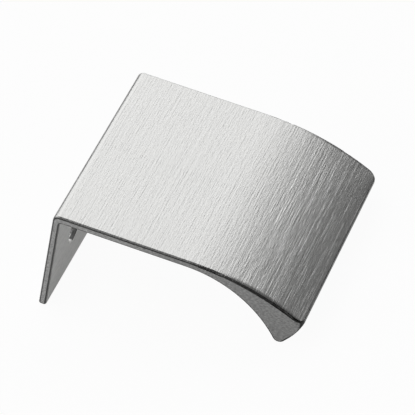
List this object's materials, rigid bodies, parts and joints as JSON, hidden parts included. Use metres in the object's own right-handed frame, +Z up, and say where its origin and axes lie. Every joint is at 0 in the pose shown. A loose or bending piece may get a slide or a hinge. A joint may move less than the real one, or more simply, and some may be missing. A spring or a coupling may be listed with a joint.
{
  "type": "tab pull",
  "caption": "One-piece brushed metal tab pull: a drilled flange screws behind a door or drawer front, a flat plate crosses its edge, and a thick curved lip is pulled with the fingers.",
  "frame": {"origin": "midway between the two screw hole centres, on the face of the flange that lies against the back of the door", "axes": "+X along the length of the pull, -Y forward over the door edge to the lip, +Z up from the flange to the plate"},
  "size_m": [0.04, 0.0413, 0.0182],
  "materials": {
    "metal": "brushed along the length, satin"
  },
  "bodies": {
    "root": {"tab_pull": "metal"}
  },
  "joints": []
}
